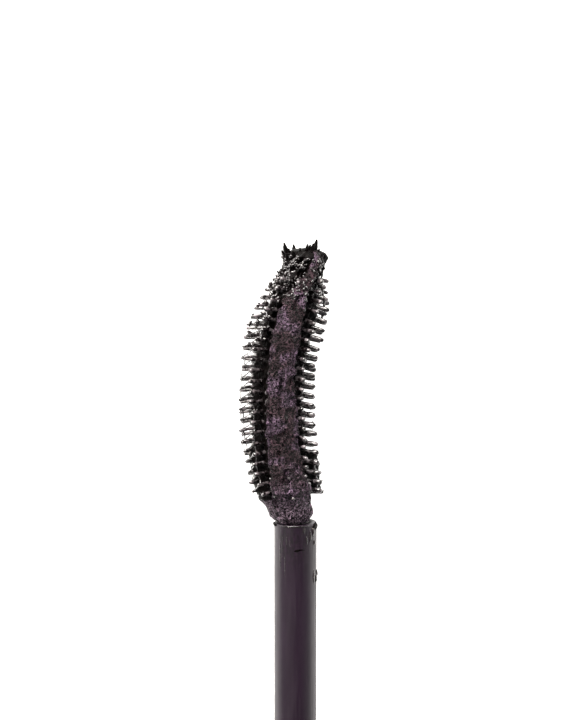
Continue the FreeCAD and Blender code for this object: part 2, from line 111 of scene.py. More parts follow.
def noise(points, size, seed):
    """Smooth noise from -1 to 1 whose lumps are about size across. points is n by 3."""
    scaled = np.asarray(points, float) / size
    base = np.floor(scaled).astype(np.int64)
    part = scaled - base
    part = part * part * (3 - 2 * part)
    total = np.zeros(len(scaled))
    for corner in range(8):
        step = np.array([corner & 1, corner >> 1 & 1, corner >> 2 & 1])
        weight = np.prod(np.where(step, part, 1 - part), axis=1)
        total += weight * lattice(*(base + step).T, seed)
    return total


def layered(points, size, seed, layers=3):
    """Noise with finer and weaker layers added."""
    total = sum(noise(points, size / 2**n, seed + n) / 2**n for n in range(layers))
    return total / (2 - 2 / 2**layers)


# ---------------------------------------------------------------- the brush's own frame


def core_point(station):
    """Centre of the core (n by 3) and its tilt, for stations along it."""
    station = np.atleast_1d(np.asarray(station, float))
    bend = np.where(station < TO_CREST, ROOT_BEND, TIP_BEND)
    tilt = (np.minimum(station, TO_STRAIGHT) - TO_CREST) / bend
    beyond = np.maximum(station - TO_STRAIGHT, 0.0)
    x = CREST + bend * np.sin(tilt) + beyond * np.cos(tilt)
    y = CREST_HEIGHT - bend * (1 - np.cos(tilt)) - beyond * np.sin(tilt)
    return np.stack([x, y, np.zeros_like(x)], axis=1), tilt


def brush_place(station, angle, radius):
    """Points at a station, an angle in radians and a radius: out from the core, leaning back."""
    station, angle, radius = np.broadcast_arrays(*map(np.atleast_1d, (station, angle, radius)))
    centre, tilt = core_point(station)
    tilt = tilt * FAN_SHARE
    none = np.zeros_like(tilt)
    along = np.stack([np.cos(tilt), -np.sin(tilt), none], axis=1)
    side = np.stack([np.sin(tilt), np.cos(tilt), none], axis=1)
    up = np.array([0.0, 0.0, 1.0])
    outward = side * np.cos(angle)[:, None] + up * np.sin(angle)[:, None]
    direction = outward * math.cos(LEAN) - along * math.sin(LEAN)
    return centre + direction * radius[:, None]


def reach_at(station):
    """How far bristles reach at a station."""
    last = FIRST_RING + PITCH * (RINGS - 1)
    share = np.clip((station - (last - TAPER_LENGTH)) / TAPER_LENGTH, 0.0, 1.0)
    return REACH - (REACH - TIP_REACH) * share**1.5


def column_angle(column):
    """Angle of a column of bristles, in radians."""
    return 2 * math.pi * (column + 0.5) / COLUMNS


def ring_station(column, ring):
    """Station of a bristle: odd columns lag half a pitch."""
    return FIRST_RING + PITCH * (ring + 0.5 * (column % 2))


def to_scene(points):
    """From the brush's frame in millimetres to the scene's frame in metres."""
    moved = np.asarray(points, float) * MM
    moved[:, 0] += STEM_END
    moved[:, 2] += AXIS_Z
    return moved


# ---------------------------------------------------------------- meshes


class Bag:
    """Collects tubes and skins into one mesh, in the brush's frame."""

    def __init__(self):
        self.points = []
        self.faces = []
        self.count = 0

    def skin(self, rows, closed_ends=True):
        """A closed skin through rows of points, each row a ring, with a point at each end."""
        rows = np.asarray(rows, float)
        lines, sides, _ = rows.shape
        first = self.count
        self.points.append(rows.reshape(-1, 3))
        self.count += lines * sides
        index = first + np.arange(lines * sides).reshape(lines, sides)
        after = np.roll(index, -1, axis=1)
        quads = np.stack([index[:-1], after[:-1], after[1:], index[1:]], axis=-1)
        self.faces.extend(quads.reshape(-1, 4).tolist())
        if closed_ends:
            for row, flip in ((0, True), (-1, False)):
                pole = self.count
                self.points.append(rows[row].mean(axis=0)[None])
                self.count += 1
                for a, b in zip(index[row].tolist(), after[row].tolist()):
                    self.faces.append([b, a, pole] if flip else [a, b, pole])

    def tube(self, line, radii, sides=8, rough=0.0, seed=0, grain=0.4):
        """A round-ended tube along a line of points, its radius changing along it."""
        line = np.asarray(line, float)
        radii = np.asarray(radii, float)
        start = line[0] - line[1]
        start /= np.linalg.norm(start)
        end = line[-1] - line[-2]
        end /= np.linalg.norm(end)
        turns = np.radians([75.0, 40.0])
        low = [line[0] + start * radii[0] * math.sin(a) for a in turns]
        high = [line[-1] + end * radii[-1] * math.sin(a) for a in turns[::-1]]
        low_radii = [radii[0] * math.cos(a) for a in turns]
        high_radii = [radii[-1] * math.cos(a) for a in turns[::-1]]
        line = np.concatenate([low, line, high])
        radii = np.concatenate([low_radii, radii, high_radii])
        tangent = np.gradient(line, axis=0)
        tangent /= np.linalg.norm(tangent, axis=1)[:, None]
        overall = line[-1] - line[0]
        guide = np.eye(3)[np.argmin(np.abs(overall))]
        across = guide - tangent * (tangent @ guide)[:, None]
        across /= np.linalg.norm(across, axis=1)[:, None]
        other = np.cross(tangent, across)
        turn = np.linspace(0, 2 * math.pi, sides, endpoint=False)
        ring = across[:, None] * np.cos(turn)[None, :, None]
        ring = ring + other[:, None] * np.sin(turn)[None, :, None]
        rows = line[:, None] + ring * radii[:, None, None]
        if rough:
            lumps = layered(rows.reshape(-1, 3), grain, seed, 2).reshape(rows.shape[:2])
            swell = np.minimum(rough, radii * 0.6)[:, None] * lumps
            rows = rows + ring * swell[..., None]
        self.skin(rows)

    def piece(self, name, body, slot, *finishes, choice=None):
        """The finished object, riding on a body. choice is the finish of each point's faces."""
        mesh = bpy.data.meshes.new(name)
        mesh.from_pydata(to_scene(np.concatenate(self.points)).tolist(), [], self.faces)
        mesh.shade_smooth()
        for finish in finishes:
            mesh.materials.append(finish)
        if choice is not None:
            chosen = [int(choice[face[0]]) for face in self.faces]
            mesh.polygons.foreach_set("material_index", chosen)
        piece = bpy.data.objects.new(name, mesh)
        bpy.context.scene.collection.objects.link(piece)
        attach(piece, body)
        return piece


# ---------------------------------------------------------------- materials


# Colours, as linear red, green and blue.
# The paste: near-black in its hollows as painted shade, then brown, and purple-grey and lilac that are
# partly dried paste and partly painted highlight.
BLACK_AND_PIT_SHADE = (0.0003, 0.0001, 0.0001)
PASTE_BROWN = (0.076, 0.045, 0.056)
PURPLE_BLACK_AND_PIT_SHADE = (0.0012, 0.0004, 0.0012)
DRIED_PURPLE_AND_HIGHLIGHT = (0.160, 0.106, 0.158)
DRIED_LILAC_AND_HIGHLIGHT = (0.40, 0.29, 0.38)
# Mascara between the bristles: near-black as painted shade.
BLACK_AND_SHADE_DARK = (0.0006, 0.0004, 0.0004)
BLACK_AND_SHADE_LUMP = (0.0032, 0.0020, 0.0020)
WET_BLACK = (0.005, 0.0035, 0.004)
WET_SWIRL = (0.022, 0.016, 0.018)
# The bristles' coat: black, and pale partly as painted highlight.
COAT_BLACK = (0.003, 0.0018, 0.002)
COAT_PALE_AND_HIGHLIGHT = (0.115, 0.098, 0.106)
STEM_DARK = (0.0080, 0.0027, 0.0084)
STEM_LIGHT = (0.0115, 0.0042, 0.0122)
FILM_DARK = (0.004, 0.002, 0.004)
FILM_LIGHT = (0.013, 0.005, 0.013)
SHELL_DARK = (0.0080, 0.0032, 0.0084)
SHELL_PEARL = (0.021, 0.0095, 0.0225)
TRIM_DARK = (0.40, 0.36, 0.385)
TRIM_LIGHT = (0.52, 0.48, 0.50)
STEEL_DARK = (0.36, 0.35, 0.33)
STEEL_LIGHT = (0.52, 0.51, 0.49)
LINER_DARK = (0.026, 0.019, 0.026)
LINER_LIGHT = (0.040, 0.030, 0.040)
BOTTLE_DARK = (0.014, 0.011, 0.014)
BOTTLE_LIGHT = (0.036, 0.030, 0.036)
FOAM_PORE = (0.52, 0.49, 0.45)
FOAM_SKIN = (0.74, 0.71, 0.67)
FOAM_STAIN = (0.02, 0.015, 0.018)
FOAM_STAIN_SKIN = (0.07, 0.055, 0.06)
WIPER_DARK = (0.58, 0.56, 0.54)
WIPER_LIGHT = (0.68, 0.66, 0.64)
WIPER_STAIN = (0.012, 0.008, 0.010)
WIPER_STAIN_LIGHT = (0.05, 0.036, 0.044)
FLOOR_DARK = (0.70, 0.70, 0.70)
FLOOR_LIGHT = (0.72, 0.72, 0.72)


class Finish:
    """A procedural material on the Principled shader, with its coordinates in millimetres."""

    def __init__(self, name, **sockets):
        self.material = bpy.data.materials.new(name)
        self.material.use_nodes = True
        self.tree = self.material.node_tree
        self.shader = self.tree.nodes["Principled BSDF"]
        for socket, value in sockets.items():
            self.shader.inputs[socket.replace("_", " ")].default_value = value
        self.coordinates = self.add("ShaderNodeTexCoord").outputs["Object"]

    def add(self, kind, **settings):
        node = self.tree.nodes.new(kind)
        for name, value in settings.items():
            setattr(node, name, value)
        return node

    def link(self, source, target):
        self.tree.links.new(source, target)

    def space(self, stretch=(1, 1, 1), turn=(0, 0, 0), shift=(0, 0, 0)):
        """Coordinates in millimetres, drawn out by stretch along each axis."""
        node = self.add("ShaderNodeMapping")
        node.inputs["Location"].default_value = shift
        node.inputs["Rotation"].default_value = turn
        node.inputs["Scale"].default_value = [1 / MM / s for s in stretch]
        self.link(self.coordinates, node.inputs["Vector"])
        return node.outputs["Vector"]

    def noise(self, size, detail=3.0, roughness=0.55, distortion=0.0, **space):
        """Noise with lumps of about size millimetres."""
        node = self.add("ShaderNodeTexNoise")
        node.inputs["Scale"].default_value = 1 / size
        node.inputs["Detail"].default_value = detail
        node.inputs["Roughness"].default_value = roughness
        node.inputs["Distortion"].default_value = distortion
        self.link(self.space(**space), node.inputs["Vector"])
        return node.outputs["Fac"]

    def scale(self, value, from_low, from_high, to_low, to_high):
        """Carries a range of values to another range, and holds it there."""
        node = self.add("ShaderNodeMapRange")
        node.interpolation_type = "SMOOTHSTEP"
        ends = (from_low, from_high, to_low, to_high)
        for name, end in zip(("From Min", "From Max", "To Min", "To Max"), ends):
            node.inputs[name].default_value = end
        self.link(value, node.inputs["Value"])
        return node.outputs["Result"]

    def math(self, operation, a, b):
        node = self.add("ShaderNodeMath", operation=operation)
        for item, socket in ((a, node.inputs[0]), (b, node.inputs[1])):
            if isinstance(item, (int, float)):
                socket.default_value = item
            else:
                self.link(item, socket)
        return node.outputs["Value"]

    def ridges(self, value, width):
        """1 along thin lines where a noise crosses its middle, 0 away from them."""
        away = self.math("ABSOLUTE", self.math("SUBTRACT", value, 0.5), 0.0)
        return self.scale(away, 0.0, width, 1, 0)

    def colours(self, factor, *stops):
        """A colour ramp through (position, colour) stops."""
        node = self.add("ShaderNodeValToRGB")
        elements = node.color_ramp.elements
        while len(elements) < len(stops):
            elements.new(0.5)
        for element, (position, colour) in zip(elements, stops):
            element.position = position
            element.color = (*colour, 1.0)
        self.link(factor, node.inputs["Fac"])
        return node.outputs["Color"]

    def blend(self, factor, a, b):
        """Colour a where factor is 0, b where it is 1."""
        node = self.add("ShaderNodeMix", data_type="RGBA")
        self.link(factor, node.inputs["Factor"])
        # The node's colour sockets: the ones before them are for numbers and vectors.
        self.link(a, node.inputs[6])
        self.link(b, node.inputs[7])
        return node.outputs[2]

    def separate(self, **space):
        """The x, y and z coordinates, in millimetres."""
        node = self.add("ShaderNodeSeparateXYZ")
        self.link(self.space(**space), node.inputs["Vector"])
        return node.outputs

    def from_axis(self):
        """Distance from the common axis, in millimetres."""
        parts = self.separate(shift=(0, 0, -AXIS_Z / MM))
        squares = [self.math("MULTIPLY", parts[i], parts[i]) for i in (1, 2)]
        return self.math("SQRT", self.math("ADD", *squares), 0.0)

    def bump(self, *layers):
        """Raises the surface by (height, depth in millimetres) layers."""
        normal = None
        for height, depth in layers:
            node = self.add("ShaderNodeBump")
            node.inputs["Distance"].default_value = depth * MM
            self.link(height, node.inputs["Height"])
            if normal is not None:
                self.link(normal, node.inputs["Normal"])
            normal = node.outputs["Normal"]
        self.link(normal, self.shader.inputs["Normal"])

    def set(self, socket, source):
        self.link(source, self.shader.inputs[socket])


def paste_finish():
    """Half-dried mascara: pale thin strokes over black, purple-grey where it has dried most, with painted
    highlight on its relief and painted shade in its hollows.
    """
    made = Finish("mascara_crust", IOR=1.22)
    combed = made.noise(0.62, 0.7, 0.5, 1.6, stretch=(2.0, 1.0, 1.0), turn=(0, 0, 0.6))
    matted = made.noise(0.54, 0.7, 0.5, 2.4, stretch=(1.0, 1.8, 1.0), turn=(0, 0, 0.7))
    grain = made.noise(0.20, 1.5, 0.5, 0.5)
    specks = made.noise(0.28, 1.0, 0.5, 0.3)
    patches = made.noise(2.4, 2.0, 0.5, 0.3)
    # The colour follows the relief that the bump raises: pale on the strokes and grains as painted
    # highlight, near-black between them as painted shade.
    strokes = made.math("MAXIMUM", made.ridges(combed, 0.045), made.ridges(matted, 0.04))
    grains = made.scale(grain, 0.42, 0.60, 0, 1)
    strokes_part = made.math("MULTIPLY", strokes, 0.65)
    mottle_and_relief_light = made.math("ADD", strokes_part, made.math("MULTIPLY", grains, 0.35))
    dark = made.colours(mottle_and_relief_light, (0.28, BLACK_AND_PIT_SHADE), (0.85, PASTE_BROWN))
    along = made.separate(shift=(-STEM_END / MM, 0, 0))[0]
    # Lilac near the root and purple-grey in patches: partly dried paste, partly painted highlight.
    root = made.colours(mottle_and_relief_light, (0.22, PURPLE_BLACK_AND_PIT_SHADE), (0.90, DRIED_LILAC_AND_HIGHLIGHT))
    pale = made.colours(mottle_and_relief_light, (0.16, PURPLE_BLACK_AND_PIT_SHADE), (0.80, DRIED_PURPLE_AND_HIGHLIGHT))
    near_root = made.scale(along, 2.0, 5.5, 1, 0)
    dried = made.math("MAXIMUM", made.scale(patches, 0.46, 0.60, 0, 1), near_root)
    body = made.blend(dried, dark, pale)
    made.set("Base Color", made.blend(made.scale(along, 1.4, 3.8, 1, 0), body, root))
    made.set("Roughness", made.scale(specks, 0.56, 0.64, 0.52, 0.10))
    made.bump((strokes, 0.05), (grain, 0.25))
    return made.material


def black_and_shade_finish():
    """Mascara between the bristles, wet, black and out of the light, painted near-black and far darker
    than the crust as painted shade.
    """
    made = Finish("mascara_black_and_shade", IOR=1.12)
    lumps = made.noise(0.3, 4.0, 0.6)
    made.set("Base Color", made.colours(lumps, (0.4, BLACK_AND_SHADE_DARK), (0.7, BLACK_AND_SHADE_LUMP)))
    made.set("Roughness", made.scale(lumps, 0.35, 0.65, 0.25, 0.5))
    made.bump((lumps, 0.12))
    return made.material


def bead_finish():
    """Fresh mascara in drops and strands, smooth enough to glint."""
    made = Finish("mascara_wet", IOR=1.5, Coat_Weight=1.0, Coat_Roughness=0.06)
    swirl = made.noise(0.25, 3.0, 0.6)
    made.set("Base Color", made.colours(swirl, (0.35, WET_BLACK), (0.7, WET_SWIRL)))
    made.set("Roughness", made.scale(swirl, 0.35, 0.65, 0.12, 0.34))
    made.bump((swirl, 0.05))
    return made.material


def bristle_finish():
    """Elastomer bristles under an uneven coat of mascara, pale in places where the coat's bump rises:
    partly dried paste, partly painted highlight along the bristles.
    """
    made = Finish("coated_bristle", IOR=1.5, Coat_Weight=1.0, Coat_Roughness=0.10)
    coat = made.noise(0.45, 2.0, 0.5)
    wet = made.noise(0.9, 2.0, 0.5)
    made.set("Base Color", made.colours(coat, (0.46, COAT_BLACK), (0.64, COAT_PALE_AND_HIGHLIGHT)))
    made.set("Roughness", made.scale(wet, 0.38, 0.62, 0.18, 0.4))
    made.bump((coat, 0.03))
    return made.material


def stem_finish():
    """Satin aubergine polypropylene, scuffed along its length, with a dried film near its end."""
    made = Finish("stem_plastic", IOR=1.49)
    scuffs = made.noise(0.16, 3.0, 0.6, stretch=(30, 1, 1))
    cloud = made.noise(2.2, 3.0, 0.5, stretch=(2.5, 1, 1))
    along = made.separate(shift=(-STEM_END / MM, 0, 0))[0]
    near_end = made.scale(along, -6.5, -0.6, 0.0, 1.0)
    film = made.noise(1.1, 3.0, 0.6, 0.6, stretch=(2.6, 1, 1))
    grain = made.noise(0.24, 2.0, 0.5, 0.6, stretch=(1.8, 1, 1))
    patch = made.math("MULTIPLY", near_end, made.scale(film, 0.46, 0.60, 0, 1))
    streaks = made.math("MULTIPLY", near_end, made.scale(scuffs, 0.52, 0.62, 0, 1))
    smear = made.math("MAXIMUM", patch, streaks)
    plastic = made.colours(cloud, (0.3, STEM_DARK), (0.7, STEM_LIGHT))
    residue = made.colours(grain, (0.44, FILM_DARK), (0.62, FILM_LIGHT))
    made.set("Base Color", made.blend(smear, plastic, residue))
    rough = made.scale(scuffs, 0.3, 0.7, 0.34, 0.50)
    made.set("Roughness", made.math("SUBTRACT", rough, made.math("MULTIPLY", smear, 0.04)))
    relief = made.math("MULTIPLY", smear, grain)
    made.bump((scuffs, 0.008), (relief, 0.015))
    return made.material


def shell_finish():
    """Satin aubergine-black shell with a faint pearl, fine scratches and moulding ripple."""
    made = Finish("shell_gloss", IOR=1.42, Coat_Weight=0.12, Coat_Roughness=0.22)
    pearl = made.noise(0.09, 2.0, 0.6)
    ripple = made.noise(6.0, 2.0, 0.5)
    scratches = made.noise(0.10, 3.0, 0.7, stretch=(60, 1, 1), turn=(0, 0, 0.05))
    made.set("Base Color", made.colours(pearl, (0.3, SHELL_DARK), (0.72, SHELL_PEARL)))
    made.set("Roughness", made.scale(scratches, 0.3, 0.75, 0.30, 0.46))
    made.bump((ripple, 0.01), (scratches, 0.002))
    return made.material


def metal_finish():
    """Turned trim, with fine circular tool marks."""
    made = Finish("trim_metal", Metallic=1.0, IOR=1.5)
    radius = made.from_axis()
    cloud = made.noise(3.0, 2.0, 0.5)
    grooves = made.add("ShaderNodeTexNoise", noise_dimensions="1D")
    grooves.inputs["Scale"].default_value = 9.0
    grooves.inputs["Detail"].default_value = 4.0
    made.link(made.math("ADD", radius, made.separate()[0]), grooves.inputs["W"])
    marks = grooves.outputs["Fac"]
    made.set("Base Color", made.colours(cloud, (0.3, TRIM_DARK), (0.7, TRIM_LIGHT)))
    made.set("Roughness", made.scale(marks, 0.3, 0.7, 0.2, 0.36))
    made.bump((marks, 0.006))
    return made.material


def steel_finish():
    """Plain punched steel, dull with tool marks."""
    made = Finish("weight_steel", Metallic=1.0)
    marks = made.noise(0.2, 4.0, 0.6, stretch=(1, 6, 1))
    made.set("Base Color", made.colours(marks, (0.3, STEEL_DARK), (0.7, STEEL_LIGHT)))
    made.set("Roughness", made.scale(marks, 0.3, 0.7, 0.3, 0.5))
    made.bump((marks, 0.006))
    return made.material


def liner_finish():
    """Matte moulded liner, with a fine spark-eroded grain."""
    made = Finish("liner_plastic", IOR=1.49)
    grain = made.noise(0.16, 3.0, 0.6)
    cloud = made.noise(4.0, 2.0, 0.5)
    made.set("Base Color", made.colours(cloud, (0.3, LINER_DARK), (0.7, LINER_LIGHT)))
    made.set("Roughness", made.scale(grain, 0.3, 0.7, 0.5, 0.66))
    made.bump((grain, 0.012))
    return made.material


def bottle_finish():
    """Gloss blow-moulded bottle, dulled in patches by smeared mascara."""
    made = Finish("bottle_plastic", IOR=1.5)
    cloud = made.noise(1.4, 4.0, 0.6, stretch=(2, 1, 1))
    grain = made.noise(0.2, 3.0, 0.6)
    made.set("Base Color", made.colours(cloud, (0.35, BOTTLE_DARK), (0.65, BOTTLE_LIGHT)))
    made.set("Roughness", made.scale(cloud, 0.4, 0.62, 0.2, 0.46))
    made.bump((grain, 0.004))
    return made.material


def washer_finish():
    """Pale foamed washer with fine pores, stained where the stem passes."""
    made = Finish("washer_foam", IOR=1.45)
    cells = made.add("ShaderNodeTexVoronoi", feature="F1")
    cells.inputs["Scale"].default_value = 4.0
    made.link(made.space(), cells.inputs["Vector"])
    pores = made.scale(cells.outputs["Distance"], 0.1, 0.6, 0, 1)
    wander = made.math("MULTIPLY", made.noise(0.8, 3.0, 0.6), 1.6)
    stain = made.scale(made.math("ADD", made.from_axis(), wander), 2.9, 4.2, 1, 0)
    clean = made.colours(pores, (0.1, FOAM_PORE), (0.8, FOAM_SKIN))
    dirty = made.colours(pores, (0.1, FOAM_STAIN), (0.8, FOAM_STAIN_SKIN))
    made.set("Base Color", made.blend(stain, clean, dirty))
    made.set("Roughness", made.scale(pores, 0, 1, 0.9, 0.7))
    made.bump((pores, 0.05))
    return made.material


def wiper_finish():
    """Milky soft plastic, stained by mascara towards its lip."""
    made = Finish("wiper_rubber", IOR=1.5, Subsurface_Weight=0.25, Subsurface_Scale=0.0008)
    wander = made.math("MULTIPLY", made.noise(0.9, 4.0, 0.65), 3.2)
    stain = made.scale(made.math("ADD", made.from_axis(), wander), 5.0, 6.6, 1, 0)
    grain = made.noise(0.3, 3.0, 0.6)
    clean = made.colours(grain, (0.3, WIPER_DARK), (0.7, WIPER_LIGHT))
    dirty = made.colours(grain, (0.3, WIPER_STAIN), (0.7, WIPER_STAIN_LIGHT))
    made.set("Base Color", made.blend(stain, clean, dirty))
    made.set("Roughness", made.scale(grain, 0.3, 0.7, 0.3, 0.45))
    made.bump((grain, 0.008))
    return made.material


# ---------------------------------------------------------------- the brush


# How far the mascara draws the tips of a column towards the brush's end, in millimetres.
TIP_DRIFT = {1: 0.5, 4: 0.4}
# The points along the core, the plug and a bristle.
CORE_STEPS = 60
PLUG_STEPS = 8
BRISTLE_STEPS = 12
# A coated bristle: its radius, how much wider its root is, and its bead: the share of the bristle
# that it spreads over, its sizes and their chances.
BRISTLE_RADIUS = 0.222
ROOT_FLARE = 0.15
BLOB_LENGTH = 0.13
BLOB_SIZES = (0.0, 0.03, 0.07)
BLOB_CHANCES = (0.35, 0.35, 0.3)
# How unevenly bristles stand: in radians round the core, and in millimetres at the tip.
ANGLE_SPREAD = 0.03
TIP_SPREAD = 0.05


def bristle_line(root, tip, sag):
    """A line from root to tip that bends towards the stem."""
    share = np.linspace(0, 1, BRISTLE_STEPS)[:, None]
    line = root + (tip - root) * share
    return line + np.array([-1.0, 0.0, 0.0]) * sag * share**2


def bristle_radii(taper, blob, blob_at):
    """Radius along a coated bristle: flared root, taper, and a bead of paste near the tip."""
    share = np.linspace(0, 1, BRISTLE_STEPS)
    radii = BRISTLE_RADIUS - taper * share + ROOT_FLARE * np.exp(-share * 6)
    return radii + blob * np.exp(-(((share - blob_at) / BLOB_LENGTH) ** 2))


def add_bristle(bag, root, tip, sag, taper, blob, seed):
    """One coated bristle, as a tube."""
    radii = bristle_radii(taper, blob, random.uniform(0.82, 0.97))
    bag.tube(bristle_line(root, tip, sag), radii, sides=10, rough=0.035, seed=seed)


def make_bristles(finish):
    """Core, plug and bristles. Returns the place of every tip."""
    bag = Bag()
    stations = np.linspace(CORE_START, CORE_END, CORE_STEPS)
    bag.tube(core_point(stations)[0], np.full(CORE_STEPS, CORE_RADIUS), 32)
    plug = np.linspace(-PLUG_LENGTH, CORE_START, PLUG_STEPS)
    bag.tube(np.stack([plug, plug * 0, plug * 0], axis=1), np.full(PLUG_STEPS, PLUG_RADIUS), 24)
    tips = {}
    for column in range(COLUMNS):
        for ring in range(RINGS):
            station = ring_station(column, ring)
            if station > CORE_END:
                continue
            root = brush_place(station, column_angle(column), BRISTLE_ROOT)[0]
            angle = column_angle(column) + random.normal(0, ANGLE_SPREAD)
            left = side_share(angle, LEFT_SIDE)
            right = side_share(angle, RIGHT_SIDE)
            worn = LEFT_WEAR * left * (1 - smooth(5.5, 9.0, station))
            worn = worn + TIP_WEAR * right * smooth(23.6, 24.8, station)
            worn = worn + FIRST_WEAR * left * (1 - smooth(3.3, 4.2, station))
            grown = LEFT_GROWTH * left * smooth(16.0, 19.0, station)
            grown = grown + np.interp(station, HANG_STATIONS, HANG_GROWTH) * right
            reach = reach_at(station) * random.uniform(0.95, 1.02) * (1 - worn + grown)
            if fill_mask(*spot(station, angle)) > 0.4:
                reach = min(reach, paste_radius(*spot(station, angle))[0] - 0.3)
            tip = brush_place(station, angle, reach)[0]
            drift = np.array([TIP_DRIFT.get(column, 0.0), 0.0, 0.0])
            tip = tip + random.normal(0, TIP_SPREAD, 3) + drift
            blob = random.choice(BLOB_SIZES, p=BLOB_CHANCES)
            taper = 0.03 + 0.06 * left - 0.035 * right
            sag = random.uniform(0.0, 0.12)
            add_bristle(bag, root, tip, sag, taper, blob, column * 100 + ring)
            tips[column, ring] = tip
    piece = bag.piece("brush_bristles", "wand", "brush_elastomer", finish)
    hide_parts("brush")
    return tips


# The bristles of the tip's crown: how far each stands to the side and up, and how far it reaches.
CROWN_TIPS = (
    (1.15, 0.7, 28.35),
    (0.7, 0.9, 27.75),
    (1.35, 0.1, 27.5),
    (-1.1, 1.0, 28.0),
    (-1.45, 0.5, 28.1),
    (-2.0, 0.4, 28.15),
    (0.25, 1.1, 27.6),
    (-0.45, 0.9, 27.85),
    (-1.75, 0.8, 28.25),
    (-2.1, 0.3, 28.6),
    (-2.35, 0.5, 27.7),
    (1.2, -0.7, 27.8),
    (0.2, -1.4, 27.9),
    (-1.2, -1.5, 27.9),
    (-2.1, -0.8, 27.8),
)


def make_crown(finish):
    """The clogged bristles that stand on the brush's end."""
    bag = Bag()
    base = core_point(CORE_END - 0.9)[0][0]
    radii = 0.10 + 0.34 * (1 - np.linspace(0, 1, BRISTLE_STEPS)) ** 0.6
    for side, up, reach in CROWN_TIPS:
        root = base + np.array([0.0, side + 1.0, up]) * 0.35
        tip = np.array([reach, side, up])
        bag.tube(bristle_line(root, tip, 0.0), radii, 12, 0.12, int(reach * 1000), grain=0.3)
    bag.piece("brush_crown", "wand", "mascara_paste", finish)


# ---------------------------------------------------------------- the paste


# Where the mascara lies: along the stations, the angles in degrees between which it fills the
# bristles to their tips, how far it reaches there, and how far on each side and round the core.
FILL_STATIONS = (0.0, 2.0, 4.0, 6.0, 10.0, 14.0, 18.0, 21.7, 24.0, 25.0, 26.5, 28.0)
FILL_FROM = (30.0, 42.0, 60.0, 66.0, 67.0, 69.0, 66.0, 56.0, 56.0, 74.0, 94.0, 100.0)
FILL_TO = (150.0, 148.0, 146.0, 136.0, 133.0, 131.0, 125.0, 117.0, 112.0, 116.0, 124.0, 128.0)
FRONT_STATIONS = (0.15, 0.6, 1.2, 2.0, 3.0, 4.0, 20.0, 24.0, 26.5, 28.0, 28.35, 28.6)
FRONT_RADII = (1.5, 2.0, 2.3, 2.55, 3.0, 3.45, 3.45, 3.0, 2.5, 2.0, 1.6, 0.4)
LEFT_STATIONS = (0.15, 0.4, 0.9, 1.4, 2.2, 3.0, 4.0, 7.5, 9.5, 16.0, 20.0, 23.5, 25.5, 28.0, 28.35, 28.6)
LEFT_RADII = (1.5, 1.6, 2.1, 2.35, 2.4, 2.9, 3.2, 3.1, 2.6, 2.5, 2.5, 2.5, 2.4, 2.3, 1.6, 0.4)
RIGHT_STATIONS = (0.15, 0.4, 0.9, 1.4, 2.2, 2.9, 3.4, 7.2, 7.9, 16.0, 22.0, 24.0, 25.5, 28.0, 28.35, 28.6)
RIGHT_RADII = (1.5, 1.6, 1.95, 2.0, 2.0, 2.1, 3.6, 4.0, 2.8, 2.65, 2.6, 1.9, 1.6, 1.6, 1.2, 0.4)
CORE_STATIONS = (0.15, 0.5, 1.0, 2.4, 3.4, 23.0, 25.0, 28.0, 28.35, 28.6)
CORE_RADII = (1.5, 1.6, 2.1, 2.2, 2.15, 2.1, 2.1, 1.8, 1.5, 0.4)
# The sides that show, in degrees: the bulging one, the inner one, and the curtain of paste that
# hangs between the inner bristles as far as a station.
LEFT_SIDE = 5.0
RIGHT_SIDE = 172.0
SIDE_SPREAD = 27.0
CURTAIN_SIDE = 188.0
CURTAIN_SPREAD = 17.0
CURTAIN_END = 7.6
# Shares of a bristle's reach that wear takes: near the root on the bulging side, in the first
# rings there, and at the tip on the inner side. Then the shares that drawn-out mascara adds:
# towards the tip on the bulging side, and along the inner side, less where they are negative.
LEFT_WEAR = 0.11
FIRST_WEAR = 0.22
TIP_WEAR = 0.22
LEFT_GROWTH = 0.11
HANG_STATIONS = (2.9, 3.8, 6.5, 9.0, 14.0, 20.0)
HANG_GROWTH = (-0.15, -0.02, 0.08, 0.06, 0.06, 0.0)
# How far the paste's tip is moved to the bulging side, in millimetres, and the paste's rows.
TIP_SHIFT = 0.3
PASTE_LINES = 400


def spot(station, angle):
    """One place on the paste, as the arrays that its measures take."""
    return np.array([station]), np.array([angle])


def nearest_bristle(station, angle, radius):
    """Distance on the surface to the nearest bristle, in millimetres."""
    nearest = np.full(station.shape, 9.0)
    for column in range(COLUMNS):
        across = np.angle(np.exp(1j * (angle - column_angle(column)))) * radius
        lag = station - ring_station(column, 0)
        along = lag - np.round(np.clip(lag / PITCH, 0, RINGS - 1)) * PITCH
        nearest = np.minimum(nearest, np.hypot(across, along))
    return nearest


def noise_space(station, angle):
    """Where a place on the paste lies in the space that its noise fills."""
    return np.stack([station, np.cos(angle) * 3, np.sin(angle) * 3], axis=1)


def fill_mask(station, angle):
    """1 where paste fills the space between the bristles, 0 where it only coats the core."""
    points = noise_space(station, angle)
    wander = layered(points, 1.6, 31) * 3 + noise(points, 0.45, 37) * 3
    degrees = np.degrees(angle) + wander
    scallop = 1.0 * np.cos(2 * math.pi * (station - ring_station(2, 0)) / PITCH)
    low = np.interp(station, FILL_STATIONS, FILL_FROM) - scallop
    high = np.interp(station, FILL_STATIONS, FILL_TO) + scallop
    return smooth(0, 6, degrees - low) * smooth(0, 6, high - degrees)


def side_share(angle, middle, spread=SIDE_SPREAD):
    """1 at one side of the brush, falling off round the core."""
    apart = np.degrees(np.abs(np.angle(np.exp(1j * (angle - np.radians(middle))))))
    return np.exp(-((apart / spread) ** 2))


